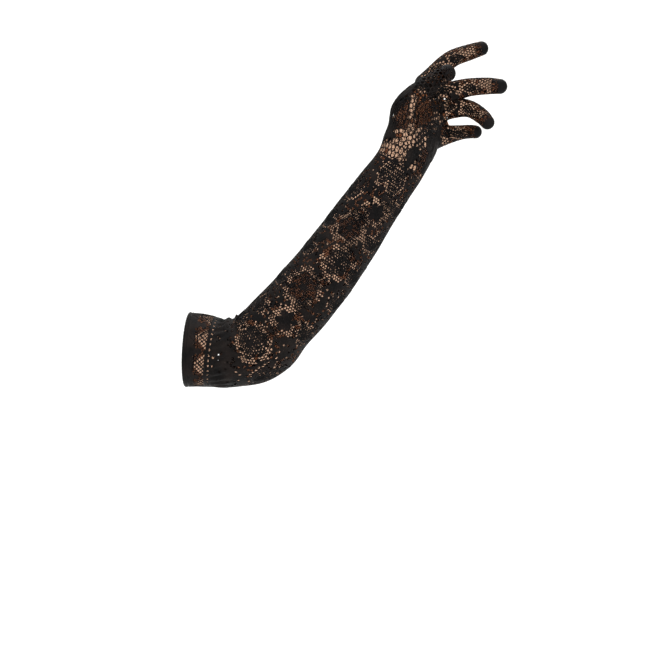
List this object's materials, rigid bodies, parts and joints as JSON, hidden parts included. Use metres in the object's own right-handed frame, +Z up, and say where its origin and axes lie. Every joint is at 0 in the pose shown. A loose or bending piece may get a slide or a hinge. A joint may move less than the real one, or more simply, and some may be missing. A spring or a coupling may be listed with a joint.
{
  "type": "lace opera glove",
  "caption": "Long black floral lace glove for the left hand, worn form with bent elbow and fanned fingers, with a net triangle edge band at the arm opening",
  "frame": {"origin": "Centre of the arm opening, on the plane of the cuff's edge", "axes": "+X runs from the arm opening along the upper arm to the elbow, +Z is up along the raised hand, and -Y is the side that the picture's viewer sees"},
  "size_m": [0.3416, 0.0992, 0.3639],
  "materials": {
    "lace_knit": "warp-knitted black nylon lace, matt with a slight sheen",
    "dense_knit": "closely knitted black nylon at the edge cord, the beading row and the fingertips"
  },
  "bodies": {
    "root": {"cuff_hem": "dense_knit", "cuff_band": "lace_knit", "eyelet_row": "dense_knit", "sleeve": "lace_knit", "hand": "lace_knit", "thumb": "lace_knit", "index_finger": "lace_knit", "middle_finger": "lace_knit", "ring_finger": "lace_knit", "little_finger": "lace_knit", "thumb_tip": "dense_knit", "index_tip": "dense_knit", "middle_tip": "dense_knit", "ring_tip": "dense_knit", "little_tip": "dense_knit"}
  },
  "joints": []
}
